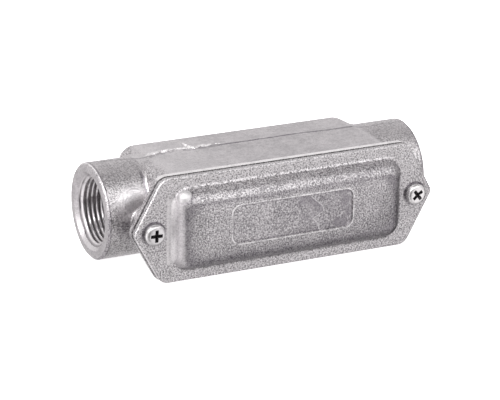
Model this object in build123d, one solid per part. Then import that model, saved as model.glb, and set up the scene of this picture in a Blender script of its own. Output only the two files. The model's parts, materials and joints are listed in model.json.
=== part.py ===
from build123d import *
import os

# Die-cast pull box for rigid conduit, trade size 21 (3/4 in), straight run.
# Millimetres. The run lies along X, the cover faces -Y and the box stands on its long side.
# Each piece is drawn about the conduit axis. "Front" lengths are measured from that axis towards -Y.

# Threaded bores, and the hubs round them
bore_diameter = 26.7
hub_wall = 4.65
hub_length = 16.9
hub_lip = 0.8
hub_root_bevel = 1.0
mouth_chamfer = 1.2

# Shoulders that the conduit stops on, eased where the wires pass
throat_diameter = 21.0
throat_lip = 1.0
shoulder_inside_hub = 0.6

# Box between the hubs, standing a little proud of them
box_length = 97.2
side_step = 0.9
back_step = 0.3
box_corner_radius = 7.2
back_draft = 3.0
back_edge_radius = 6.0
wall = 3.0
cavity_corner_radius = 4.0
cavity_floor_chamfer = 1.5

# Rim that carries the cover, with a screw lug at each tip
rim_ahead_of_hub = 9.8
rim_thickness = 2.5
rim_overhang = 0.2
rim_edge = 0.4
lug_diameter = 12.4
lug_beyond_screw = 3.7
lug_draft = 4.0
screw_beyond_box = 4.9

# Cover: a six-sided plate with a raised, hollow panel
plate_beyond_sides = 1.0
plate_beyond_ends = 1.7
tip_beyond_screw = 7.7
plate_corner_radius = 5.0
plate_tip_radius = 3.0
plate_thickness = 2.2
plate_edge = 0.4
panel_side_margin = 4.2
panel_end_margin = 3.5
panel_corner_radius = 7.0
panel_rise = 5.3
panel_draft = 28.0
panel_edge_radius = 4.0
panel_root_radius = 1.5
panel_wall = 2.0

# Sunken name field in the panel, left bare
field_length = 49.0
field_height = 14.6
field_above_middle = 0.6
field_corner_radius = 3.0
field_depth = 0.5

# Flat gasket between rim and cover
gasket_thickness = 0.6
gasket_inset = 0.8

# Pan head screws, No. 8-32
screw_diameter = 4.1
screw_length = 9.5
head_diameter = 8.0
head_height = 3.0
head_edge_height = 1.1
head_edge_width = 0.7
recess_span = 4.6
recess_width = 1.1
recess_depth = 1.9
recess_draft = 10.0
left_recess_turn = 4.0
right_recess_turn = 38.0

# Fits
screw_hole_clearance = 0.05
screw_end_room = 1.3
plate_hole_clearance = 0.25
spotface_clearance = 0.6
spotface_depth = 0.2

# Sizes that follow from the ones above
hub_radius = bore_diameter / 2 + hub_wall
overall_length = box_length + 2 * hub_length
box_height = 2 * (hub_radius + side_step)
box_back = hub_radius + back_step
rim_front = hub_radius + rim_ahead_of_hub
rim_back = rim_front - rim_thickness
cavity_length = box_length - 2 * wall
cavity_height = box_height - 2 * wall
shoulder_x = box_length / 2 + shoulder_inside_hub
throat_end_x = box_length / 2 - 2 * wall
screw_x = box_length / 2 + screw_beyond_box
lug_x = screw_x + lug_beyond_screw - lug_diameter / 2
plate_height = box_height + 2 * plate_beyond_sides
plate_long_edge = box_length + 2 * plate_beyond_ends
plate_tip_x = screw_x + tip_beyond_screw
cover_back = rim_front + gasket_thickness
cover_front = cover_back + plate_thickness
panel_front = cover_front + panel_rise
panel_length = plate_long_edge - 2 * panel_end_margin
panel_height = plate_height - 2 * panel_side_margin
head_seat = cover_front - spotface_depth
head_top = head_seat + head_height
screw_end = head_seat - screw_length

# The part frame has its origin under the middle of the whole box
axis_in_part = Pos(0, (panel_front - box_back) / 2, plate_height / 2 + rim_overhang)


def facing_front(distance):
    """Drawing plane square to the cover, its normal towards -Y."""
    return Plane.XZ.offset(distance)


def facing_back(distance):
    """Drawing plane square to the cover, its normal towards +Y."""
    return Plane(origin=(0, -distance, 0), x_dir=(1, 0, 0), z_dir=(0, 1, 0))


def facing_left(distance):
    """Drawing plane square to the run, its normal towards -X."""
    return Plane(origin=(-distance, 0, 0), x_dir=(0, -1, 0), z_dir=(-1, 0, 0))


def both_ends(shape):
    """The shape and its mirror image at the other end of the run."""
    return shape + mirror(shape, Plane.YZ)


def joined(first, second, bevel):
    """Union of two solids, with the line where they meet bevelled."""
    union = first + second
    return chamfer(new_edges(first, second, combined=union), bevel)


def edges_at_front(shape, distance):
    """Edges that lie wholly in the plane at this distance in front of the conduit axis."""
    return shape.edges().filter_by_position(Axis.Y, -distance - 0.01, -distance + 0.01)


def plate_outline(grow=0.0):
    """Six-sided outline shared by cover, gasket and rim, all its sides moved out by grow."""
    half_edge = plate_long_edge / 2
    half_height = plate_height / 2
    outline = Polyline(
        (plate_tip_x, 0),
        (half_edge, half_height),
        (-half_edge, half_height),
        (-plate_tip_x, 0),
        (-half_edge, -half_height),
        (half_edge, -half_height),
        close=True,
    )
    face = make_face(outline)
    face = fillet(face.vertices().group_by(Axis.X)[0], plate_tip_radius)
    face = fillet(face.vertices().group_by(Axis.X)[-1], plate_tip_radius)
    corners = face.vertices().group_by(Axis.Y)[0] + face.vertices().group_by(Axis.Y)[-1]
    face = fillet(corners, plate_corner_radius)
    if grow:
        face = offset(face, grow)
    return face


def box_block():
    """The box outside: straight towards the rim, drafted and rounded towards the back."""
    outline = RectangleRounded(box_length, box_height, box_corner_radius)
    front = extrude(facing_front(0) * outline, rim_front)
    back = extrude(facing_back(0) * outline, box_back, taper=back_draft)
    back = fillet(back.faces().sort_by(Axis.Y)[-1].edges(), back_edge_radius)
    return front + back


def barrel():
    """Round barrel along the whole run, whose ends are the two hubs."""
    solid = extrude(facing_left(0) * Circle(hub_radius), overall_length / 2, both=True)
    return chamfer(solid.faces().filter_by(Axis.X).edges(), hub_lip)


def lug():
    """Screw boss behind the left tip of the rim, run back into the hub and the box wall."""
    back = hub_radius - wall
    outline = Pos(-lug_x, 0) * Circle(lug_diameter / 2)
    outline += Pos(lug_diameter / 2 - lug_x, 0) * Rectangle(lug_diameter, lug_diameter)
    return extrude(facing_back(rim_back) * outline, rim_back - back, taper=lug_draft)


def rim():
    """Flange that the gasket seats on."""
    plate = extrude(facing_front(rim_back) * plate_outline(rim_overhang), rim_thickness)
    return chamfer(edges_at_front(plate, rim_back), rim_edge)


def cavity():
    """Wiring space, open at the rim, with rounded corners and floor."""
    outline = RectangleRounded(cavity_length, cavity_height, cavity_corner_radius)
    depth = rim_front + box_back - wall
    space = extrude(facing_back(rim_front) * outline, depth)
    return chamfer(space.faces().sort_by(Axis.Y)[-1].edges(), cavity_floor_chamfer)


def bore():
    """Everything turned out of the left hub: mouth, thread wall, shoulder and eased throat."""
    mouth_x = overall_length / 2
    wall_radius = bore_diameter / 2
    throat_radius = throat_diameter / 2
    profile = Polyline(
        (-mouth_x, 0),
        (-mouth_x, wall_radius + mouth_chamfer),
        (mouth_chamfer - mouth_x, wall_radius),
        (-shoulder_x, wall_radius),
        (-shoulder_x, throat_radius + throat_lip),
        (throat_lip - shoulder_x, throat_radius),
        (-throat_end_x, throat_radius),
        (-throat_end_x, 0),
        close=True,
    )
    return revolve(make_face(profile), Axis.X)


def screw_hole():
    """Blind hole down the left lug."""
    hole = Pos(-screw_x, 0) * Circle(screw_diameter / 2 + screw_hole_clearance)
    return extrude(facing_back(rim_front) * hole, rim_front - screw_end + screw_end_room)


def make_body():
    """One casting: box, hubs, rim and lugs, hollowed and bored."""
    shell = joined(box_block(), barrel(), hub_root_bevel)
    shell = shell + both_ends(lug()) + rim()
    return shell - cavity() - both_ends(bore()) - both_ends(screw_hole())


def raised_panel():
    """Outside of the raised panel, drafted and rounded, standing on the cover's plate."""
    outline = RectangleRounded(panel_length, panel_height, panel_corner_radius)
    panel = extrude(facing_front(cover_front) * outline, panel_rise, taper=panel_draft)
    return fillet(panel.faces().sort_by(Axis.Y)[0].edges(), panel_edge_radius)


def panel_foot(cover):
    """The edges where the raised panel stands on the plate."""
    return edges_at_front(cover, cover_front).filter_by(
        lambda edge: abs(edge.center().X) < panel_length / 2 + 0.01
        and abs(edge.center().Z) < panel_height / 2 + 0.01
    )


def panel_hollow():
    """Space behind the raised panel, one wall smaller all round."""
    outline = RectangleRounded(
        panel_length - 2 * panel_wall,
        panel_height - 2 * panel_wall,
        panel_corner_radius - panel_wall,
    )
    depth = panel_front - panel_wall - cover_back
    return extrude(facing_front(cover_back) * outline, depth, taper=panel_draft / 2)


def name_field():
    """Sunken field in the middle of the panel."""
    outline = RectangleRounded(field_length, field_height, field_corner_radius)
    place = facing_front(panel_front - field_depth) * Pos(0, field_above_middle)
    return extrude(place * outline, field_depth)


def plate_hole(thickness):
    """Clearance hole for the left screw through a sheet that lies on the rim."""
    hole = Pos(-screw_x, 0) * Circle(screw_diameter / 2 + plate_hole_clearance)
    return extrude(facing_front(rim_front) * hole, thickness)


def make_cover():
    """One casting: six-sided plate, raised panel, screw holes with spot faces."""
    plate = extrude(facing_front(cover_back) * plate_outline(), plate_thickness)
    plate = chamfer(edges_at_front(plate, cover_front), plate_edge)
    cover = plate + raised_panel()
    cover = fillet(panel_foot(cover), panel_root_radius)
    cover = cover - panel_hollow() - name_field()
    spotface = Pos(-screw_x, 0) * Circle(head_diameter / 2 + spotface_clearance)
    seats = extrude(facing_front(head_seat) * spotface, spotface_depth)
    return cover - both_ends(plate_hole(cover_front - rim_front)) - both_ends(seats)


def make_gasket():
    """Flat rubber gasket, cut out over the wiring space and round the screws."""
    sheet = extrude(facing_front(rim_front) * plate_outline(-gasket_inset), gasket_thickness)
    opening = RectangleRounded(cavity_length, cavity_height, cavity_corner_radius)
    window = extrude(facing_front(rim_front) * opening, gasket_thickness)
    return sheet - window - both_ends(plate_hole(gasket_thickness))


def make_screw(x, recess_turn):
    """Pan head screw with a cross recess, its head on the cover's spot face."""
    at = Pos(x, 0)
    head = extrude(facing_front(head_seat) * at * Circle(head_diameter / 2), head_height)
    head = chamfer(edges_at_front(head, head_top), head_edge_height, head_edge_width)
    cross = Rectangle(recess_span, recess_width) + Rectangle(recess_width, recess_span)
    cross = at * Rot(0, 0, recess_turn) * cross
    recess = extrude(facing_back(head_top) * cross, recess_depth, taper=recess_draft)
    shank = extrude(facing_front(screw_end) * at * Circle(screw_diameter / 2), screw_length)
    return head + shank - recess


pieces = {
    "body": make_body(),
    "cover": make_cover(),
    "gasket": make_gasket(),
    "cover_screw_left": make_screw(-screw_x, left_recess_turn),
    "cover_screw_right": make_screw(screw_x, right_recess_turn),
}

os.makedirs("parts", exist_ok=True)
for name, piece in pieces.items():
    export_step(axis_in_part * piece, f"parts/{name}.step")
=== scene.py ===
# Looks of the die-cast conduit pull box: castings, cut threads, parting flash, gasket and screws.
# Metres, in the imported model's own frame: the run along X, the cover towards -Y, +Z up.
import json
import math
import random
from types import SimpleNamespace

import bmesh
import bpy
from mathutils import Matrix, Vector


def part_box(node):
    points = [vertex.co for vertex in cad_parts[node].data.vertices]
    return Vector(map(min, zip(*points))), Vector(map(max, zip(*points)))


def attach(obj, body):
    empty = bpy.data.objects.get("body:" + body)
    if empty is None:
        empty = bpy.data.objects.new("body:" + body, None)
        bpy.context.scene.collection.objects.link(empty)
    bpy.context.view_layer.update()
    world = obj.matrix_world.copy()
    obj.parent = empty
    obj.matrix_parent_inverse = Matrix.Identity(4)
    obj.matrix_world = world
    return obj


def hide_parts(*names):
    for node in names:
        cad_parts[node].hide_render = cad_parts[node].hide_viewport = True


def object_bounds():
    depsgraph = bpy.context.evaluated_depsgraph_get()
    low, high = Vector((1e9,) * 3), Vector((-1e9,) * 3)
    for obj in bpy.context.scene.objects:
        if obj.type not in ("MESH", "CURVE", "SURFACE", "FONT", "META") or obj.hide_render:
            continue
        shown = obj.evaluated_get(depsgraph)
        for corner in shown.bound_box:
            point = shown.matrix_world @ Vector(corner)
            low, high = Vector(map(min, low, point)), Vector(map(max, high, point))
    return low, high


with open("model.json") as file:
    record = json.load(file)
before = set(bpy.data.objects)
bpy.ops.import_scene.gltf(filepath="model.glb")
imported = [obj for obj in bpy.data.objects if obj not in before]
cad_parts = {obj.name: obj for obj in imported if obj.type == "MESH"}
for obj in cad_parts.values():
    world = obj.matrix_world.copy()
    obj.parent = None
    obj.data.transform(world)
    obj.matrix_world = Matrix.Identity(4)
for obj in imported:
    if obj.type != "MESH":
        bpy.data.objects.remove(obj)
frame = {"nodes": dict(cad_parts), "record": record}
cad_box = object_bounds()

MM = 0.001

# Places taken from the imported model
body_low, body_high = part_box("body")
cover_low, cover_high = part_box("cover")
screw_low, screw_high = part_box("cover_screw_left")
RUN_END = body_high.x
HUB_MOUNT = next(m for m in frame["record"]["mounts"] if m["name"] == "right_hub")
AXIS_Y, AXIS_Z = HUB_MOUNT["pos_m"][1:]
BORE_RADIUS = HUB_MOUNT["dims"]["r_mm"] * MM
THREAD_END = HUB_MOUNT["pos_m"][0] - HUB_MOUNT["dims"]["length_mm"] * MM / 2
SCREW_X = -(screw_low.x + screw_high.x) / 2
SCREW_Z = (screw_low.z + screw_high.z) / 2

# Conduit thread, 14 to the inch: it narrows a little with depth, and its ridges fade at the inner end
PITCH = 25.4 / 14 * MM
THREAD_HEIGHT = 1.20 * MM
THREAD_TAPER = 0.35 / 32
THREAD_SKIN = 0.05 * MM
THREAD_FADE = 2.6 * MM
FADED_HEIGHT = 0.25
THREAD_PHASE = 0.06
MOUTH_RADIUS = 14.55 * MM

# Section of a thread's ridge, as shares of half a pitch from the middle of its crest
RIDGE_FOOT = 0.92
RIDGE_FLANK = 0.74

# The box's top, and how it falls away behind the conduit axis
BOX_TOP = 39.0 * MM
BACK_DRAFT = math.radians(3.0)

# Screws, No. 8-32: a domed pan head, a cross recess that narrows in steps of arm and depth, and a shank
# with a thread and a short point
HEAD_RADIUS = (screw_high.x - screw_low.x) / 2
HEAD_HEIGHT = 3.0 * MM
HEAD_CORNER = 1.35 * MM
HEAD_DOME = 0.14 * MM
RECESS_ARM = 2.3 * MM
RECESS_SHAPE = 0.27
RECESS_EASE = 0.10 * MM
RECESS_STEPS = ((1.85 * MM, 0.9 * MM), (1.40 * MM, 1.75 * MM))
RECESS_DEPTH = 2.05 * MM
SCREW_PITCH = 25.4 / 32 * MM
SCREW_ROOT = 1.62 * MM
SCREW_RIDGE = 0.42 * MM
POINT_LENGTH = 2.8 * MM
POINT_SHARE = 0.72

# Places for the marks on the castings, in millimetres
HUB_END = RUN_END / MM
HUB_FLAT_RADIUS = 17.2
HUB_RADIUS = 18.0
BOX_END = 48.6
LUG_X = 51.0
RIM_FRONT = body_low.y / MM
RIM_BACK = RIM_FRONT + 2.5
PLATE_THICKNESS = 2.2
PLATE_FRONT = cover_high.y / MM - PLATE_THICKNESS
PANEL_FRONT = cover_low.y / MM
PANEL_LENGTH = 93.6
PANEL_HEIGHT = 31.4
PANEL_ROUNDING = 13.0
FIELD_LENGTH = 49.0
FIELD_HEIGHT = 14.6
FIELD_CORNER = 3.0
FIELD_MIDDLE = AXIS_Z / MM + 0.6

# The die's parting line over the body's top as x and y in millimetres, and its strength along x
PARTING_LINE = (
    (-65.0, 11.2), (-50.0, 9.2), (-43.0, 6.9), (-41.0, 7.8), (-37.3, 8.7), (-35.4, 8.5), (-32.1, 9.5),
    (-27.0, 9.0), (-21.2, 8.5), (-18.8, 9.3), (-16.1, 8.8), (-14.1, 7.9), (-0.9, 7.9), (20.3, 8.2),
    (32.4, 7.2), (40.4, 7.3), (65.0, 8.2),
)
PARTING_STRENGTH = ((-65.0, 0.3), (-44.0, 0.5), (-17.0, 0.7), (-14.0, 1.0), (42.0, 0.9), (48.0, 0.2))

# Flash torn off near that line's left end, in millimetres: its stretch, a flake behind it, the spacing
# of its points, and how far its foot is sunk and a broken spot stands up
FLASH_ENDS = (-43.5, -16.0)
FLASH_FLAKE = ((-25.4, 15.4), (-25.2, 12.8), (-24.4, 10.4), (-24.2, 8.6), (-23.4, 7.0))
FLASH_STEP = 0.42
FLASH_SUNK = -0.06
BROKEN_HEIGHT = 0.02

# A seam in the name field where two streams of melt met, as z and x in millimetres
FLOW_LINE = ((12.4, 11.0), (16.0, 10.5), (18.3, 8.2), (20.9, 12.6), (22.8, 12.0), (26.8, 7.5))

# A round pimple on the panel's top left corner, and the middle of the painted shade below it to the right,
# in millimetres
PIMPLE = (-42.0, -23.2, 32.3)
PIMPLE_RADIUS = 3.1
PIMPLE_SHADE = (-40.9, -23.2, 31.0)

# Where the melt left rings on the left hub, beside the lug, and how far apart they lie, in millimetres
RIPPLE_MIDDLE = (-54.2, -7.8, 26.8)
RIPPLE_PITCH = 0.95

# Where painted shade lies on the left hub, below those rings, in millimetres
SHADE_MIDDLE = (-56.5, -9.0, 17.5)

# Metal colours
# Pale metal, for glints in the grain and for painted light where a mark makes a surface paler
PALE_METAL = (0.86, 0.845, 0.85)
# Bright metal, for rubbed spots and for painted highlights
BRIGHT = (0.98, 0.97, 0.97)
# Dark soot, for stains and soot and also for painted shade
SOOT_AND_SHADE = (0.10, 0.085, 0.11)
BODY_BRIGHT = (0.62, 0.60, 0.61)
BODY_DULL = (0.48, 0.465, 0.475)
COVER_BRIGHT = (0.555, 0.535, 0.55)
COVER_DULL = (0.39, 0.375, 0.39)
# Thread colours: a painted highlight for the crests, painted shade for the roots low down, and the roots'
# own tone higher up
THREAD_CREST_HIGHLIGHT = (0.88, 0.865, 0.87)
THREAD_ROOT_SHADE = (0.40, 0.385, 0.395)
THREAD_ROOT_HIGH = (0.62, 0.60, 0.61)
ZINC = (0.86, 0.85, 0.85)
WORN_ZINC = (0.74, 0.73, 0.735)
# Near-black for a screw's cross recess: painted shade
RECESS = (0.10, 0.095, 0.10)
# The pimple's metal: rubbed, and made pale for a painted highlight
PIMPLE_METAL = (0.86, 0.85, 0.855)
FLASH_METAL = (0.90, 0.89, 0.89)

# Gasket colours: two of rubber, and the dust and painted light on it
RUBBER_DARK = (0.018, 0.018, 0.019)
RUBBER_PALE = (0.045, 0.045, 0.047)
DUST_AND_LIGHT = (0.60, 0.58, 0.59)

# The room that the metal mirrors: soft patches, as bearing from +X towards +Y, height, reach and level
ROOM_LEVEL = 0.92
ROOM_PATCHES = (
    (-172, 0.20, 50, 0.15),
    (175, -0.32, 34, 0.55),
    (-106, -0.20, 44, -0.66),
    (-55, -0.42, 40, 0.30),
    (60, 0.42, 45, -0.08),
    (-12, -0.86, 50, -0.34),
    (8, -0.40, 46, -0.70),
    (122, -0.30, 42, -0.10),
    (0, 1.00, 60, -0.40),
    (-162, 0.72, 24, 4.20),
)
ROOM_TINT = (1.0, 0.975, 0.985)

# The lights: where each stands and aims, its width and height in metres, and its power
LIGHT_AIM = (0.0, 0.0, 0.02)
SOFTBOX_PLACE = (0.0, -0.80, 0.80)
SOFTBOX_SIZE = (1.7, 0.45)
SOFTBOX_POWER = 4.2
WASH_PLACE = (0.0, 0.5, 2.0)
WASH_SIZE = (2.5, 2.5)
WASH_POWER = 30

# The floor that the part stands on
FLOOR_TONE = 0.93
FLOOR_GLOW = 0.75
FLOOR_REACH = 6.0

# The camera's place and aim, in degrees and metres from the middle of the conduit run, and its lens
CAMERA_AZIMUTH = -26.79
CAMERA_ELEVATION = 19.79
CAMERA_ROLL = 1.08
CAMERA_DISTANCE = 0.92773
SENSOR_WIDTH = 36.0
FOCAL_LENGTH = 177.68
CAMERA_SHIFT = -0.0259


def tree_of(name):
    """A new node material: its tree, its main shader and its object coordinates in millimetres."""
    material = bpy.data.materials.new(name)
    material.use_nodes = True
    tree = material.node_tree
    shader = tree.nodes["Principled BSDF"]
    coordinates = tree.nodes.new("ShaderNodeTexCoord")
    millimetres = tree.nodes.new("ShaderNodeVectorMath")
    millimetres.operation = "SCALE"
    millimetres.inputs["Scale"].default_value = 1000.0
    tree.links.new(coordinates.outputs["Object"], millimetres.inputs[0])
    return material, tree, shader, millimetres.outputs[0]


def noise_node(tree, place, scale, detail=2.0, roughness=0.5):
    node = tree.nodes.new("ShaderNodeTexNoise")
    node.inputs["Scale"].default_value = scale
    node.inputs["Detail"].default_value = detail
    node.inputs["Roughness"].default_value = roughness
    tree.links.new(place, node.inputs["Vector"])
    return node.outputs["Fac"]


def ramp(tree, value, low, high, out_low=0.0, out_high=1.0, smooth=True):
    """value from low to high becomes out_low to out_high, held at the ends."""
    node = tree.nodes.new("ShaderNodeMapRange")
    node.interpolation_type = "SMOOTHSTEP" if smooth else "LINEAR"
    node.inputs["From Min"].default_value = low
    node.inputs["From Max"].default_value = high
    node.inputs["To Min"].default_value = out_low
    node.inputs["To Max"].default_value = out_high
    tree.links.new(value, node.inputs["Value"])
    return node.outputs["Result"]


def math_node(tree, operation, first, second=None):
    node = tree.nodes.new("ShaderNodeMath")
    node.operation = operation
    for socket, value in zip(node.inputs, (first, second)):
        if value is None:
            continue
        if isinstance(value, (int, float)):
            socket.default_value = value
        else:
            tree.links.new(value, socket)
    return node.outputs[0]


def mixed(tree, share, first, second):
    """Colour mix: first where share is 0, second where it is 1."""
    node = tree.nodes.new("ShaderNodeMix")
    node.data_type = "RGBA"
    colours = [socket for socket in node.inputs if socket.type == "RGBA"]
    for socket, value in zip(colours, (first, second)):
        if isinstance(value, tuple):
            socket.default_value = (*value, 1.0)
        else:
            tree.links.new(value, socket)
    tree.links.new(share, node.inputs[0])
    return next(socket for socket in node.outputs if socket.type == "RGBA")


def bump(tree, height, distance, strength=1.0, below=None):
    node = tree.nodes.new("ShaderNodeBump")
    node.inputs["Strength"].default_value = strength
    node.inputs["Distance"].default_value = distance
    tree.links.new(height, node.inputs["Height"])
    if below is not None:
        tree.links.new(below, node.inputs["Normal"])
    return node.outputs["Normal"]


def separate(tree, vector):
    node = tree.nodes.new("ShaderNodeSeparateXYZ")
    tree.links.new(vector, node.inputs[0])
    return node.outputs


def between(tree, value, low, high, soft):
    """Mask that is 1 where value lies from low to high, with soft ends."""
    up = ramp(tree, value, low - soft, low + soft)
    down = ramp(tree, value, high - soft, high + soft, 1.0, 0.0)
    return math_node(tree, "MULTIPLY", up, down)


def either(tree, *masks):
    """The larger of several masks."""
    result = masks[0]
    for mask in masks[1:]:
        result = math_node(tree, "MAXIMUM", result, mask)
    return result


def both(tree, *masks):
    """The product of several masks."""
    result = masks[0]
    for mask in masks[1:]:
        result = math_node(tree, "MULTIPLY", result, mask)
    return result


def length_of(tree, first, second):
    """Length of a two-part vector."""
    squares = [math_node(tree, "MULTIPLY", value, value) for value in (first, second)]
    return math_node(tree, "SQRT", math_node(tree, "ADD", *squares))


def offset_size(tree, value, centre):
    """Distance of a coordinate from a centre, without its sign."""
    return math_node(tree, "ABSOLUTE", math_node(tree, "SUBTRACT", value, centre))


def rounded_frame(tree, first, second, half_first, half_second, radius):
    """Distance outside a rounded rectangle's outline, negative inside it."""
    beyond = [
        math_node(tree, "MAXIMUM", math_node(tree, "SUBTRACT", value, half - radius), 0.0)
        for value, half in ((first, half_first), (second, half_second))
    ]
    return math_node(tree, "SUBTRACT", length_of(tree, *beyond), radius)


def distance_from(tree, place, point):
    """Distance of the shaded spot from a point in millimetres."""
    node = tree.nodes.new("ShaderNodeVectorMath")
    node.operation = "DISTANCE"
    node.inputs[1].default_value = point
    tree.links.new(place, node.inputs[0])
    return node.outputs["Value"]


def curve_of(tree, value, points, top):
    """A broken line through points of (value, level), with levels from 0 to the given top."""
    first, last = points[0][0], points[-1][0]
    node = tree.nodes.new("ShaderNodeValToRGB")
    tree.links.new(ramp(tree, value, first, last, smooth=False), node.inputs["Fac"])
    stops = node.color_ramp.elements
    while len(stops) < len(points):
        stops.new(0.5)
    for stop, (place, level) in zip(stops, points):
        stop.position = (place - first) / (last - first)
        stop.color = (level / top, level / top, level / top, 1)
    return math_node(tree, "MULTIPLY", node.outputs["Color"], top)


def scaled(tree, mask, factor):
    return math_node(tree, "MULTIPLY", mask, factor)


def gathered(tree, groups):
    """Several groups of marks as one: reliefs add up, and of any other kind the strongest holds."""
    result = {}
    for group in groups:
        for kind, mask in group.items():
            operation = "ADD" if kind == "relief" else "MAXIMUM"
            result[kind] = math_node(tree, operation, result[kind], mask) if kind in result else mask
    return result


def shaded_spot(tree, place, normal):
    """Where the shaded spot lies on a casting, in millimetres, and which way its surface faces."""
    part = separate(tree, place)
    spot = SimpleNamespace(place=place, x=part["X"], y=part["Y"], z=part["Z"])
    spot.along = math_node(tree, "ABSOLUTE", spot.x)
    spot.off_axis = offset_size(tree, spot.z, AXIS_Z / MM)
    spot.normal = separate(tree, normal)
    return spot


def hub_end_marks(tree, spot):
    """A hub's end: a calm face, its edge with a painted highlight above and painted shade below and round
    its outside, and a bevelled mouth with painted shade above and a painted highlight below.
    """
    on_end = ramp(tree, spot.along, HUB_END - 1.4, HUB_END - 1.2)
    upper = ramp(tree, spot.z, 21.0, 30.0)
    past_flat = math_node(tree, "SUBTRACT", spot.from_axis, HUB_FLAT_RADIUS)
    face = both(tree, on_end, ramp(tree, past_flat, 0.0, 0.2, 0.9, 0.0))
    # Patchy painted highlight on the upper part of the edge
    lip = both(tree, on_end, between(tree, past_flat, 0.35, 0.65, 0.08), upper, spot.wear)
    # Painted shade round the edge's outside
    lip_shade = both(tree, on_end, ramp(tree, past_flat, 0.65, 0.75, 0.0, 0.40))
    # Painted shade on the lower part of the edge
    worn = both(tree, on_end, ramp(tree, past_flat, 0.0, 0.15), ramp(tree, upper, 0.0, 0.6, 0.38, 0.0))
    past_mouth = math_node(tree, "SUBTRACT", spot.from_axis, MOUTH_RADIUS / MM)
    mouth = both(tree, on_end, ramp(tree, past_mouth, -0.05, 0.15, 1.0, 0.0))
    # Painted shade on the mouth's bevel above, painted highlight on it below
    mouth_shade_above = both(tree, mouth, ramp(tree, spot.z, 16.0, 24.0, 0.0, 0.12))
    mouth_highlight_below = both(tree, mouth, ramp(tree, spot.z, 10.0, 18.0, 0.4, 0.0))
    return {
        "shine_and_highlight": either(tree, lip, mouth_highlight_below),
        "calm": either(tree, face, mouth),
        "stain_and_shade": either(tree, lip_shade, worn, mouth_shade_above),
    }


def hub_root_marks(tree, spot):
    """Where a hub meets the box: a thin line of painted highlight, and beside it painted shade at the left
    hub.
    """
    past_box = math_node(tree, "SUBTRACT", spot.along, BOX_END)
    past_hub = math_node(tree, "SUBTRACT", spot.from_axis, HUB_RADIUS)
    # Painted highlight along the hub's root
    line = both(
        tree,
        between(tree, past_box, -1.20, 0.60, 0.05),
        between(tree, past_hub, 0.50, 0.95, 0.05),
        between(tree, spot.z, 29.3, 37.0, 0.4),
    )
    # Painted shade beside it, on the left hub only
    band = both(
        tree,
        between(tree, past_box, -0.05, 1.10, 0.05),
        between(tree, past_hub, -0.05, 1.20, 0.05),
        between(tree, spot.z, 29.0, 36.0, 0.8),
        ramp(tree, spot.x, -1.0, 1.0, 1.0, 0.0),
    )
    shade = math_node(tree, "SUBTRACT", scaled(tree, band, 0.55), line)
    return {"shine_and_highlight": line, "calm": line, "stain_and_shade": shade}


def lug_marks(tree, spot):
    """A thin line of painted highlight round the upper half of a lug's foot, on the hub, raised a little by
    bump.
    """
    from_lug = length_of(tree, offset_size(tree, spot.along, LUG_X), spot.off_axis)
    past_hub = math_node(tree, "SUBTRACT", spot.from_axis, HUB_RADIUS)
    line = both(
        tree,
        between(tree, from_lug, 5.58, 5.95, 0.08),
        between(tree, past_hub, -0.10, 0.35, 0.05),
        ramp(tree, spot.z, AXIS_Z / MM - 2.0, AXIS_Z / MM),
        ramp(tree, spot.y, -5.0, -3.0, 1.0, 0.0),
    )
    return {"shine_and_highlight": line, "calm": line, "relief": scaled(tree, line, 0.15)}


def top_marks(tree, spot):
    """Surfaces that face up or down: calm, with painted light to the left on the box, and on the rim rubbed
    bright with a painted highlight.
    """
    in_rim = between(tree, spot.y, RIM_FRONT - 0.2, RIM_BACK + 0.2, 0.1)
    # The rim's faces up and down: rubbed metal and painted highlight
    rim = both(tree, in_rim, ramp(tree, spot.upward, 0.6, 0.9), ramp(tree, spot.wear, 0.35, 0.6, 0.7, 1.0))
    roof = ramp(tree, spot.upward, 0.60, 0.95, 0.0, 0.55)
    # Painted light: the box's top lighter to the left
    pale = both(tree, spot.flat, ramp(tree, spot.x, -46.0, -8.0, 0.40, 0.0))
    return {"shine_and_highlight": rim, "calm": either(tree, spot.flat, roof, rim), "pale": pale}


def parting_marks(tree, spot):
    """The die's parting line outside, and the metal smeared and scored where its flash tore off."""
    side = math_node(tree, "SUBTRACT", spot.y, curve_of(tree, spot.x, PARTING_LINE, 20.0))
    width = ramp(tree, noise_node(tree, spot.place, 0.6, 2.0), 0.3, 0.7, 0.24, 0.62, False)
    line = both(
        tree,
        math_node(tree, "LESS_THAN", math_node(tree, "ABSOLUTE", side), width),
        ramp(tree, spot.from_axis, 16.8, 17.2),
        ramp(tree, spot.upward, 0.6, 0.9),
        curve_of(tree, spot.x, PARTING_STRENGTH, 1.0),
    )
    torn = both(tree, spot.flat, between(tree, spot.x, FLASH_ENDS[0], FLASH_ENDS[1], 1.0))
    ragged = ramp(tree, noise_node(tree, spot.place, 0.7, 3.0), 0.42, 0.55)
    smear = both(tree, torn, between(tree, side, 0.15, 2.3, 0.4), ragged)
    scored = ramp(tree, noise_node(tree, spot.place, 0.55, 3.0), 0.47, 0.53, 0.0, 0.40)
    tear = both(tree, torn, between(tree, side, -2.4, -0.3, 0.3), scored)
    step = both(tree, spot.flat, ramp(tree, side, -0.5, 0.5, 0.10, 0.0))
    return {"shine_and_highlight": scaled(tree, smear, 0.9), "stain_and_shade": either(tree, line, tear), "relief": step}


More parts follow.
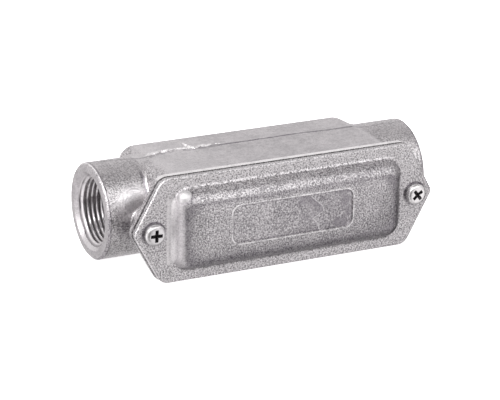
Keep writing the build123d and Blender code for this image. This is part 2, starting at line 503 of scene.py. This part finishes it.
def left_hub_marks(tree, spot):
    """Rings that the melt left on the left hub beside the lug, and painted shade below them."""
    from_middle = distance_from(tree, spot.place, RIPPLE_MIDDLE)
    near = ramp(tree, from_middle, 5.0, 10.0, 1.0, 0.0)
    warped = math_node(tree, "ADD", from_middle, noise_node(tree, spot.place, 0.25, 1.0))
    wave = math_node(tree, "SINE", scaled(tree, warped, 2 * math.pi / RIPPLE_PITCH))
    rings = both(tree, wave, near, ramp(tree, from_middle, 2.0, 5.0, 0.0, 0.010))
    patchy = ramp(tree, noise_node(tree, spot.place, 0.5, 3.0), 0.35, 0.60, 0.3, 1.0)
    # Patchy painted shade below the rings
    from_shade = distance_from(tree, spot.place, SHADE_MIDDLE)
    shade_below_rings = both(tree, patchy, ramp(tree, from_shade, 2.0, 6.5, 0.45, 0.0))
    return {"calm": near, "stain_and_shade": shade_below_rings, "pale": scaled(tree, near, 0.25), "relief": rings}


def body_marks(tree, spot):
    """What the body bears, and the light and shade painted on it, on its hubs, lugs and top and along the
    parting line.
    """
    spot.upward = math_node(tree, "ABSOLUTE", spot.normal["Z"])
    spot.from_axis = length_of(tree, offset_size(tree, spot.y, AXIS_Y / MM), spot.off_axis)
    spot.wear = ramp(tree, noise_node(tree, spot.place, 0.30, 3.0, 0.6), 0.38, 0.62, 0.35, 1.0)
    on_box = ramp(tree, spot.along, BOX_END - 1.5, BOX_END, 1.0, 0.0)
    spot.flat = both(tree, on_box, ramp(tree, spot.upward, 0.90, 0.98))
    makers = (hub_end_marks, hub_root_marks, lug_marks, top_marks, parting_marks, left_hub_marks)
    return gathered(tree, [maker(tree, spot) for maker in makers])


def plate_marks(tree, spot):
    """The plate: painted lighter towards the top, its edge rubbed bright with a painted highlight, and
    painted shade round the screws.
    """
    # The plate's front edge: rubbed bright, with a painted highlight that is weaker where it faces up
    edge = both(
        tree,
        between(tree, math_node(tree, "ABSOLUTE", spot.normal["Y"]), 0.5, 0.9, 0.08),
        ramp(tree, spot.y, PLATE_FRONT + 0.20, PLATE_FRONT + 0.30),
        ramp(tree, spot.normal["Z"], 0.45, 0.65, 1.0, 0.35),
    )
    from_screw = length_of(
        tree,
        offset_size(tree, spot.along, SCREW_X / MM),
        offset_size(tree, spot.z, SCREW_Z / MM),
    )
    # Painted shade in a ring round each screw head, darker above
    shade_round_screw = both(
        tree,
        between(tree, from_screw, 3.8, 4.7, 0.2),
        ramp(tree, spot.z, SCREW_Z / MM - 5.0, SCREW_Z / MM + 2.0, 0.30, 0.65),
    )
    on_plate = ramp(tree, spot.off_plate, 0.0, 1.0, 1.0, 0.0)
    # Painted light: paler towards the top
    pale = both(tree, on_plate, ramp(tree, spot.z, 24.0, 38.0, 0.25, 0.50))
    return {"shine_and_highlight": edge, "stain_and_shade": shade_round_screw, "pale": pale}


def panel_marks(tree, spot):
    """The raised panel: pillowed, with painted shade on its lower and right walls, by the pimple and
    towards the right, and painted light on its left wall, by its left foot and towards the left.
    """
    beyond = rounded_frame(
        tree, spot.along, spot.off_axis, PANEL_LENGTH / 2, PANEL_HEIGHT / 2, PANEL_ROUNDING
    )
    left_wall = both(tree, spot.off_plate, ramp(tree, spot.x, -44.8, -40.6, 1.0, 0.0))
    by_wall = both(
        tree,
        between(tree, spot.x, -48.6, -45.6, 0.6),
        ramp(tree, spot.off_axis, 11.0, 15.0, 1.0, 0.0),
        ramp(tree, spot.y, PLATE_FRONT + 0.4, PLATE_FRONT + 0.6, 1.0, 0.0),
    )
    calm = either(tree, left_wall, by_wall)
    # Painted shade on the walls that face down and to the right
    wall_shade = both(
        tree,
        spot.off_plate,
        ramp(tree, beyond, -8.0, -3.5),
        ramp(tree, spot.normal["Z"], 0.05, 0.25, 1.0, 0.0),
        ramp(tree, spot.normal["X"], -0.55, -0.30),
    )
    # Painted shadow below and right of the pimple
    pimple_shadow = ramp(tree, distance_from(tree, spot.place, PIMPLE_SHADE), 3.0, 4.4, 0.55, 0.0)
    # Painted shade, growing towards the right
    shade_to_right = both(tree, spot.off_plate, ramp(tree, spot.x, 5.0, 40.0, 0.0, 0.08))
    return {
        "calm": scaled(tree, calm, 0.9),
        "stain_and_shade": either(tree, pimple_shadow, scaled(tree, wall_shade, 0.45), shade_to_right),
        # Painted light: paler to the left, on the left wall and by the wall's foot
        "pale": either(
            tree,
            ramp(tree, spot.x, -60.0, 10.0, 0.15, 0.0, False),
            scaled(tree, left_wall, 0.25),
            scaled(tree, by_wall, 0.85),
        ),
        "matt": calm,
        "relief": ramp(tree, beyond, -13.0, -2.0, 0.0, -1.5),
    }


def field_marks(tree, spot):
    """The sunken field: a rubbed lip, painted shade in its inner corner and towards its right, the melt's
    seam, and stains beside it.
    """
    off_middle = offset_size(tree, spot.z, FIELD_MIDDLE)
    outside = rounded_frame(tree, spot.along, off_middle, FIELD_LENGTH / 2, FIELD_HEIGHT / 2, FIELD_CORNER)
    on_front = ramp(tree, spot.y, PANEL_FRONT + 1.1, PANEL_FRONT + 1.3, 1.0, 0.0)
    wear = ramp(tree, noise_node(tree, spot.place, 0.35, 3.0, 0.6), 0.40, 0.60, 0.25, 0.85)
    lip = both(tree, on_front, between(tree, outside, 0.0, 0.55, 0.12), wear)
    # Painted shade in the field's inner corner
    corner = both(tree, on_front, between(tree, outside, -0.55, -0.10, 0.12))
    within = both(tree, on_front, ramp(tree, outside, -0.5, -0.3, 1.0, 0.0))
    past_seam = math_node(tree, "SUBTRACT", spot.x, curve_of(tree, spot.z, FLOW_LINE, 20.0))
    seam = both(tree, within, between(tree, past_seam, -0.30, 0.30, 0.1))
    before = between(tree, past_seam, -9.0, -0.1, 0.2)
    after = between(tree, spot.x, 16.5, 24.0, 1.5)
    cloud = ramp(tree, noise_node(tree, spot.place, 0.16, 3.0, 0.6), 0.35, 0.6)
    clouded = both(tree, within, cloud, either(tree, before, after))
    # Painted shade, growing towards the right
    darker = both(tree, within, ramp(tree, spot.x, -24.0, 20.0, 0.02, 0.24))
    return {
        "shine_and_highlight": either(tree, lip, scaled(tree, seam, 0.55)),
        "calm": either(tree, scaled(tree, clouded, 0.65), scaled(tree, within, 0.30)),
        "stain_and_shade": either(tree, scaled(tree, corner, 0.45), scaled(tree, clouded, 0.50), darker),
    }


def cover_marks(tree, spot):
    """What the cover bears, and the light and shade painted on it, on its plate, its raised panel and its
    sunken field.
    """
    spot.off_plate = ramp(tree, spot.y, PLATE_FRONT - 0.7, PLATE_FRONT - 0.3, 1.0, 0.0)
    return gathered(tree, [maker(tree, spot) for maker in (plate_marks, panel_marks, field_marks)])


def casting_material(name, bright, dull, grain, marks):
    """Tumbled die casting: mottled grey metal with a fine speckle, and the marks that it bears, painted
    highlights and painted shade among them.
    """
    material, tree, shader, place = tree_of(name)
    geometry = tree.nodes.new("ShaderNodeNewGeometry")
    mark = marks(tree, shaded_spot(tree, place, geometry.outputs["Normal"]))
    speckle = noise_node(tree, place, 1.7, 3.0, 0.75)
    cloud = noise_node(tree, place, 0.10, 3.0, 0.55)
    blotch = noise_node(tree, place, 0.45, 3.0, 0.6)
    share = scaled(tree, math_node(tree, "ADD", cloud, blotch), 0.5)
    tone = mixed(tree, ramp(tree, share, 0.38, 0.62), dull, bright)
    # Paler where a mark asks: painted light on the box's top, the plate and the panel, and a paler patch by
    # the left hub's rings
    tone = mixed(tree, mark["pale"], tone, PALE_METAL)
    loud = ramp(tree, mark["calm"], 0.0, 1.0, 1.0, 0.25)
    pits = both(tree, ramp(tree, speckle, 0.40, 0.49, 0.95, 0.0), loud)
    glints = both(tree, ramp(tree, speckle, 0.51, 0.60, 0.0, 0.95), loud)
    tone = mixed(tree, pits, tone, tuple(0.40 * c for c in dull))
    tone = mixed(tree, glints, tone, PALE_METAL)
    # Bright where metal is rubbed, and painted highlights
    tone = mixed(tree, mark["shine_and_highlight"], tone, BRIGHT)
    # Dark where there are stains, and painted shade
    tone = mixed(tree, mark["stain_and_shade"], tone, SOOT_AND_SHADE)
    tree.links.new(tone, shader.inputs["Base Color"])
    shader.inputs["Metallic"].default_value = 1.0
    rough = ramp(tree, noise_node(tree, place, 0.7, 3.0, 0.6), 0.35, 0.65, 0.28, 0.40)
    rough = math_node(tree, "SUBTRACT", rough, scaled(tree, mark["shine_and_highlight"], 0.10))
    if "matt" in mark:
        rough = math_node(tree, "ADD", rough, scaled(tree, mark["matt"], 0.22))
    tree.links.new(rough, shader.inputs["Roughness"])
    skin = bump(tree, noise_node(tree, place, 0.28, 2.0), 0.12 * MM, 0.6)
    skin = bump(tree, mark["relief"], MM, 1.0, skin)
    tree.links.new(bump(tree, both(tree, speckle, loud), grain, 1.0, skin), shader.inputs["Normal"])
    return material


def cut_metal(tree, shader, place, tone, wear, roughness):
    """Cut metal's shader: its colour, roughness from smooth to worn, and fine tool marks."""
    tree.links.new(tone, shader.inputs["Base Color"])
    shader.inputs["Metallic"].default_value = 1.0
    tree.links.new(ramp(tree, wear, 0.3, 0.7, roughness, roughness + 0.10), shader.inputs["Roughness"])
    tree.links.new(bump(tree, noise_node(tree, place, 3.0, 2.0), 0.02 * MM, 0.5), shader.inputs["Normal"])


def machined_material(name, colour, roughness):
    """Cut or plated metal of one colour, mottled a little."""
    material, tree, shader, place = tree_of(name)
    wear = noise_node(tree, place, 0.9, 3.0, 0.6)
    tone = mixed(tree, ramp(tree, wear, 0.35, 0.65), tuple(0.82 * c for c in colour), colour)
    cut_metal(tree, shader, place, tone, wear, roughness)
    return material


def thread_material(name):
    """Cut thread: painted highlight on the crests and painted shade in the roots, both stronger low down,
    and soot here and there.
    """
    material, tree, shader, place = tree_of(name)
    part = separate(tree, place)
    from_axis = length_of(
        tree,
        offset_size(tree, part["Y"], AXIS_Y / MM),
        offset_size(tree, part["Z"], AXIS_Z / MM),
    )
    on_crest = ramp(tree, from_axis, 12.3, 13.1, 1.0, 0.0)
    # Painted highlight on the crests, stronger low down
    crest_highlight = both(tree, on_crest, ramp(tree, part["Z"], 12.0, 22.0, 1.0, 0.45))
    # Painted shade in the roots low down
    root = mixed(tree, ramp(tree, part["Z"], 14.0, 24.0), THREAD_ROOT_SHADE, THREAD_ROOT_HIGH)
    tone = mixed(tree, crest_highlight, root, THREAD_CREST_HIGHLIGHT)
    wear = noise_node(tree, place, 0.9, 3.0, 0.6)
    tone = mixed(tree, ramp(tree, wear, 0.50, 0.70, 0.0, 0.30), tone, SOOT_AND_SHADE)
    cut_metal(tree, shader, place, tone, wear, 0.30)
    return material


def rubber_material(name):
    """Dull black rubber, with pale dust and painted light on the outer edge at its left end."""
    material, tree, shader, place = tree_of(name)
    grain = noise_node(tree, place, 2.5, 3.0, 0.6)
    tone = mixed(tree, ramp(tree, grain, 0.3, 0.7), RUBBER_DARK, RUBBER_PALE)
    geometry = tree.nodes.new("ShaderNodeNewGeometry")
    outward = math_node(tree, "ABSOLUTE", separate(tree, geometry.outputs["Normal"])["Y"])
    # Pale dust, and painted light that lifts the shade in the crevice by the plate's edge
    dust_and_light = both(
        tree,
        ramp(tree, separate(tree, place)["X"], -49.0, -44.0, 1.0, 0.0),
        ramp(tree, outward, 0.3, 0.6, 1.0, 0.0),
        ramp(tree, grain, 0.35, 0.60, 0.3, 0.9),
    )
    tone = mixed(tree, dust_and_light, tone, DUST_AND_LIGHT)
    tree.links.new(tone, shader.inputs["Base Color"])
    shader.inputs["Roughness"].default_value = 0.75
    tree.links.new(bump(tree, grain, 0.03 * MM, 0.6), shader.inputs["Normal"])
    return material


def dress(node, material):
    """Gives a CAD node its material."""
    slots = frame["nodes"][node].data.materials
    slots.clear()
    slots.append(material)


def piece_from(name, made, material, body):
    """A new piece from a bmesh, riding on a body."""
    mesh = bpy.data.meshes.new(name)
    made.to_mesh(mesh)
    made.free()
    mesh.materials.append(material)
    piece = bpy.data.objects.new(name, mesh)
    bpy.context.scene.collection.objects.link(piece)
    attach(piece, body)
    return piece


def smooth_above(piece, degrees):
    """Smooth shading, kept sharp at edges that turn by more than the angle."""
    mesh = piece.data
    mesh.shade_smooth()
    mesh.set_sharp_from_angle(angle=math.radians(degrees))


def ring_of(made, angles, reach, depth, middle):
    """A ring of points round an axis along Y: reach and depth are numbers, or one number for each angle."""
    reaches = reach if isinstance(reach, list) else [reach] * len(angles)
    depths = depth if isinstance(depth, list) else [depth] * len(angles)
    return [
        made.verts.new((middle[0] + r * math.cos(a), middle[1] + d, middle[2] + r * math.sin(a)))
        for a, r, d in zip(angles, reaches, depths)
    ]


def bridge(made, first, second, index=0):
    """A band of faces between two rings."""
    count = len(first)
    for step in range(count):
        after = (step + 1) % count
        face = made.faces.new((first[step], first[after], second[after], second[step]))
        face.material_index = index


def bridge_all(made, rings):
    """Bands of faces from each ring to the next."""
    for first, second in zip(rings, rings[1:]):
        bridge(made, first, second)


def cap(made, ring, depth, middle, index=0):
    """Closes a ring with faces that meet at a point on the axis."""
    tip = made.verts.new((middle[0], middle[1] + depth, middle[2]))
    for step in range(len(ring)):
        face = made.faces.new((ring[step], ring[(step + 1) % len(ring)], tip))
        face.material_index = index


def even_angles(count):
    return [2 * math.pi * step / count for step in range(count)]


def thread_profile(turn):
    """Height of the ridge, 0 at the root to 1 at the crest, at this share of a pitch."""
    share = abs(turn % 1.0 - 0.5) * 2
    return min(1.0, max(0.0, (RIDGE_FOOT - share) / RIDGE_FLANK))


def thread_radius(along, angle, side):
    """Radius of a hub's thread at this place: ridges on a tapered root, cut back by the bevelled mouth."""
    depth = RUN_END - along
    fade = min(1.0, (along - THREAD_END) / THREAD_FADE)
    turn = side * along / PITCH - angle / (2 * math.pi) + THREAD_PHASE
    root = BORE_RADIUS - THREAD_SKIN - THREAD_TAPER * depth
    ridge = THREAD_HEIGHT * thread_profile(turn) * (FADED_HEIGHT + (1 - FADED_HEIGHT) * fade)
    return max(root - ridge, MOUTH_RADIUS - depth)


def ring_round_run(made, along, angles, radii):
    """A ring of points round the conduit axis."""
    return [
        made.verts.new((along, AXIS_Y + radius * math.cos(angle), AXIS_Z + radius * math.sin(angle)))
        for angle, radius in zip(angles, radii)
    ]


def conduit_thread(name, side):
    """Thread ridges cut in one hub, as a closed sleeve sunk a little into the bore's wall."""
    per_pitch = 8
    angles = even_angles(112)
    start = RUN_END - (MOUTH_RADIUS - (BORE_RADIUS - THREAD_SKIN))
    rows = int((start - THREAD_END) / PITCH * per_pitch)
    made = bmesh.new()
    rings = []
    for row in range(rows + 1):
        along = start + (THREAD_END - start) * row / rows
        radii = [thread_radius(along, angle, side) for angle in angles]
        rings.append(ring_round_run(made, side * along, angles, radii))
    outer = BORE_RADIUS + 0.15 * MM
    for along in (THREAD_END - 0.1 * MM, start - 0.02 * MM):
        rings.append(ring_round_run(made, side * along, angles, [outer] * len(angles)))
    bridge_all(made, rings + rings[:1])
    bmesh.ops.recalc_face_normals(made, faces=made.faces)
    piece = piece_from(name, made, thread_metal, "body")
    smooth_above(piece, 50)
    return piece


def cross_reach(angle, arm):
    """Distance from the middle of a cross recess to its outline, in this direction."""
    along, across = (max(abs(f(angle)), 1e-9) for f in (math.cos, math.sin))
    half = arm * RECESS_SHAPE
    return max(min(arm / along, half / across), min(arm / across, half / along))


def head_drop(reach):
    """How far the pan head's top lies behind its middle at this radius."""
    dome = HEAD_DOME * (reach / HEAD_RADIUS) ** 2
    over = max(0.0, reach - (HEAD_RADIUS - HEAD_CORNER))
    return dome + HEAD_CORNER - math.sqrt(max(0.0, HEAD_CORNER ** 2 - over ** 2))


def recess_angles():
    """Directions round a cross recess, closer together at its arms' ends and inner corners."""
    corner = math.atan(RECESS_SHAPE)
    stops = [0.0, corner, math.pi / 4, math.pi / 2 - corner, math.pi / 2]
    fine = []
    for first, second, parts in zip(stops, stops[1:], (4, 5, 5, 4)):
        fine += [first + (second - first) * k / parts for k in range(parts)]
    return [quarter * math.pi / 2 + angle for quarter in range(4) for angle in fine]


def screw_head(made, middle, turn):
    """Rounded pan head with a tapered cross recess, its top at the middle point."""
    local = recess_angles()
    angles = [angle + turn for angle in local]
    mouth = [cross_reach(angle, RECESS_ARM) for angle in local]
    shoulder = HEAD_RADIUS - HEAD_CORNER
    rings = []
    for share in (0.0, 0.08, 0.5, 1.0):
        reach = [r + (shoulder - r) * share for r in mouth]
        sink = RECESS_EASE if share == 0.0 else 0.0
        rings.append(ring_of(made, angles, reach, [head_drop(r) + sink for r in reach], middle))
    for share in (0.3, 0.55, 0.75, 0.9, 0.975):
        reach = shoulder + HEAD_CORNER * share
        rings.append(ring_of(made, angles, reach, head_drop(reach), middle))
    for share, depth in ((1.0, 1.55 * MM), (1.0, 2.85 * MM), (0.97, HEAD_HEIGHT)):
        rings.append(ring_of(made, angles, HEAD_RADIUS * share, depth, middle))
    bridge_all(made, rings)
    cap(made, rings[-1], HEAD_HEIGHT, middle)
    above = rings[0]
    for arm, depth in RECESS_STEPS:
        below = ring_of(made, angles, [cross_reach(angle, arm) for angle in local], depth, middle)
        bridge(made, above, below, 1)
        above = below
    cap(made, above, RECESS_DEPTH, middle, 1)


def screw_shank(made, middle, length):
    """Threaded shank, started inside the head and pointed a little at its end."""
    per_pitch = 8
    start = HEAD_HEIGHT - 0.3 * MM
    rows = int((length - start) / SCREW_PITCH * per_pitch)
    angles = even_angles(32)
    rings = []
    for row in range(rows + 1):
        depth = start + (length - start) * row / rows
        point = min(1.0, POINT_SHARE + (length - depth) / POINT_LENGTH)
        reach = []
        for angle in angles:
            turn = depth / SCREW_PITCH + angle / (2 * math.pi)
            reach.append((SCREW_ROOT + SCREW_RIDGE * thread_profile(turn)) * point)
        rings.append(ring_of(made, angles, reach, depth, middle))
    bridge_all(made, rings)
    cap(made, rings[0], start, middle)
    cap(made, rings[-1], length, middle)


def cover_screw(name, node, body, degrees, material):
    """A whole screw in place of the plain one, turned as the photograph shows it."""
    low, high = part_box(node)
    middle = ((low.x + high.x) / 2, low.y, (low.z + high.z) / 2)
    made = bmesh.new()
    screw_head(made, middle, math.radians(degrees))
    screw_shank(made, middle, high.y - low.y)
    bmesh.ops.recalc_face_normals(made, faces=made.faces)
    piece = piece_from(name, made, material, body)
    # The cross recess faces take the near-black material: painted shade
    piece.data.materials.append(recess_dark)
    smooth_above(piece, 32)
    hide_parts(node)
    return piece


def casting_pimple():
    """A small round lump left by the die on the panel's corner."""
    made = bmesh.new()
    bmesh.ops.create_uvsphere(made, u_segments=28, v_segments=18, radius=PIMPLE_RADIUS * MM)
    bmesh.ops.translate(made, verts=made.verts, vec=Vector(PIMPLE) * MM)
    # Pale rubbed metal that also paints a highlight on the lump
    piece = piece_from("casting_pimple", made, rubbed_highlight_metal, "cover")
    smooth_above(piece, 60)
    return piece


def box_top(y):
    """Height of the box's top at this distance along Y, drafted behind the conduit axis."""
    return BOX_TOP - max(0.0, y - AXIS_Y) * math.tan(BACK_DRAFT)


def spots_along(path):
    """Places a flash step apart along a path, each with the path's direction there."""
    spots = []
    for (x0, y0), (x1, y1) in zip(path, path[1:]):
        span = math.hypot(x1 - x0, y1 - y0)
        count = max(1, round(span / FLASH_STEP))
        for k in range(count):
            share = k / count
            at = (x0 + (x1 - x0) * share, y0 + (y1 - y0) * share)
            spots.append((*at, (x1 - x0) / span, (y1 - y0) / span))
    return spots


def torn_ridge(made, path, height, spread, gaps, rng):
    """A broken, uneven ridge of die flash along a path on the box's top."""
    spots = spots_along(path)
    run = []
    for number, (x, y, tx, ty) in enumerate(spots):
        broken = rng.random() < gaps or number == len(spots) - 1
        tall = BROKEN_HEIGHT if broken or not run else height * rng.uniform(0.5, 1.0)
        near = -spread * rng.uniform(0.5, 1.2)
        far = spread * rng.uniform(0.5, 1.2)
        run.append([])
        for offset, lift in ((near, FLASH_SUNK), (rng.uniform(-0.25, 0.25), tall), (far, FLASH_SUNK)):
            px, py = (x - ty * offset) * MM, (y + tx * offset) * MM
            run[-1].append(made.verts.new((px, py, box_top(py) + lift * MM)))
        if broken and len(run) > 1:
            bridge_all(made, run)
            made.faces.new(run[0])
            made.faces.new(run[-1])
            run = []


def parting_flash():
    """Torn flash left standing where the die halves met, near the left end of the top."""
    rng = random.Random(11)
    made = bmesh.new()
    path = [spot for spot in PARTING_LINE if FLASH_ENDS[0] < spot[0] < FLASH_ENDS[1]]
    torn_ridge(made, path, height=0.42, spread=0.25, gaps=0.16, rng=rng)
    torn_ridge(made, FLASH_FLAKE, height=0.60, spread=0.34, gaps=0.0, rng=rng)
    for x, y in path + path[1:-1]:
        x, y = x + rng.uniform(-1, 2), y + rng.uniform(-1.0, 1.6)
        end = (x + rng.uniform(1.4, 3.0), y + rng.uniform(-0.9, 0.9))
        torn_ridge(made, ((x, y), end), height=0.36, spread=0.24, gaps=0.04, rng=rng)
    lone = [vertex for vertex in made.verts if not vertex.link_faces]
    bmesh.ops.delete(made, geom=lone, context="VERTS")
    bmesh.ops.recalc_face_normals(made, faces=made.faces)
    return piece_from("parting_flash", made, flash_metal, "body")


def floor_and_backdrop():
    """A wide pale floor that glows a little and isn't mirrored in the metal."""
    mesh = bpy.data.meshes.new("floor")
    corners = [(-1, -1), (1, -1), (1, 1), (-1, 1)]
    mesh.from_pydata([(FLOOR_REACH * x, FLOOR_REACH * y, 0) for x, y in corners], [], [(0, 1, 2, 3)])
    floor = bpy.data.objects.new("floor", mesh)
    floor.location.z = cad_box[0].z
    bpy.context.scene.collection.objects.link(floor)
    material = bpy.data.materials.new("pale_floor")
    material.use_nodes = True
    shader = material.node_tree.nodes["Principled BSDF"]
    shader.inputs["Base Color"].default_value = (FLOOR_TONE, FLOOR_TONE, FLOOR_TONE, 1)
    shader.inputs["Roughness"].default_value = 0.9
    shader.inputs["Specular IOR Level"].default_value = 0.0
    shader.inputs["Emission Color"].default_value = (1, 1, 1, 1)
    shader.inputs["Emission Strength"].default_value = FLOOR_GLOW
    mesh.materials.append(material)
    floor.visible_glossy = False


def area_light(name, place, size, power):
    """A rectangular light at a place, aimed at the part."""
    light = bpy.data.lights.new(name, "AREA")
    light.shape = "RECTANGLE"
    light.size, light.size_y = size
    light.energy = power
    lamp = bpy.data.objects.new(name, light)
    lamp.location = place
    aim = Vector(LIGHT_AIM) - Vector(place)
    lamp.rotation_euler = aim.to_track_quat("-Z", "Y").to_euler()
    bpy.context.scene.collection.objects.link(lamp)
    return lamp


def studio():
    """Pale room with brighter and darker sides, and a wide softbox above the camera."""
    world = bpy.data.worlds.new("studio")
    world.use_nodes = True
    bpy.context.scene.world = world
    tree = world.node_tree
    coordinates = tree.nodes.new("ShaderNodeTexCoord")
    level = None
    for bearing, height, reach, amount in ROOM_PATCHES:
        node = tree.nodes.new("ShaderNodeVectorMath")
        node.operation = "DOT_PRODUCT"
        flat = math.sqrt(1 - height ** 2)
        angle = math.radians(bearing)
        node.inputs[1].default_value = (flat * math.cos(angle), flat * math.sin(angle), height)
        tree.links.new(coordinates.outputs["Generated"], node.inputs[0])
        patch = ramp(tree, node.outputs["Value"], math.cos(math.radians(reach)), 1.0, 0.0, amount)
        level = math_node(tree, "ADD", patch, ROOM_LEVEL if level is None else level)
    tree.links.new(level, tree.nodes["Background"].inputs["Strength"])
    tree.nodes["Background"].inputs["Color"].default_value = (*ROOM_TINT, 1)
    area_light("softbox", SOFTBOX_PLACE, SOFTBOX_SIZE, SOFTBOX_POWER)
    wash = area_light("floor_wash", WASH_PLACE, WASH_SIZE, WASH_POWER)
    wash.visible_glossy = False


def photo_camera():
    """A camera where the photograph was taken from, aimed at the middle of the conduit run."""
    a, e, r = (math.radians(v) for v in (CAMERA_AZIMUTH, CAMERA_ELEVATION, CAMERA_ROLL))
    back = Vector((math.sin(a) * math.cos(e), -math.cos(a) * math.cos(e), math.sin(e)))
    right = (-back).cross(Vector((0, 0, 1))).normalized()
    up = right.cross(-back)
    across = math.cos(r) * right + math.sin(r) * up
    upward = -math.sin(r) * right + math.cos(r) * up
    camera = bpy.data.objects.new("camera", bpy.data.cameras.new("camera"))
    camera.data.sensor_width = SENSOR_WIDTH
    camera.data.lens = FOCAL_LENGTH
    camera.data.shift_y = CAMERA_SHIFT
    rotation = Matrix((across, upward, back)).transposed()
    aim = Vector((0, AXIS_Y, AXIS_Z))
    camera.matrix_world = Matrix.Translation(aim + back * CAMERA_DISTANCE) @ rotation.to_4x4()
    bpy.context.scene.collection.objects.link(camera)
    bpy.context.scene.camera = camera


body_metal = casting_material("cast_body", BODY_BRIGHT, BODY_DULL, 0.16 * MM, body_marks)
cover_metal = casting_material("cast_cover", COVER_BRIGHT, COVER_DULL, 0.20 * MM, cover_marks)
thread_metal = thread_material("cut_thread")
zinc = machined_material("zinc_plate", ZINC, 0.22)
dull_zinc = machined_material("zinc_plate_worn", WORN_ZINC, 0.27)
# Painted shade for the cross recesses
recess_dark = machined_material("screw_recess", RECESS, 0.5)
rubbed_highlight_metal = machined_material("rubbed_highlight_casting", PIMPLE_METAL, 0.50)
flash_metal = machined_material("die_flash", FLASH_METAL, 0.42)
rubber = rubber_material("gasket_rubber")

dress("body", body_metal)
dress("cover", cover_metal)
dress("gasket", rubber)
dress("cover_screw_left", zinc)
dress("cover_screw_right", zinc)

cover_screw("left_pan_screw", "cover_screw_left", "left_screw", -2.0, dull_zinc)
cover_screw("right_pan_screw", "cover_screw_right", "right_screw", 38.0, zinc)
parting_flash()
casting_pimple()
conduit_thread("thread_left", -1)
conduit_thread("thread_right", 1)

floor_and_backdrop()
studio()
photo_camera()
bpy.context.scene.view_settings.view_transform = "Standard"
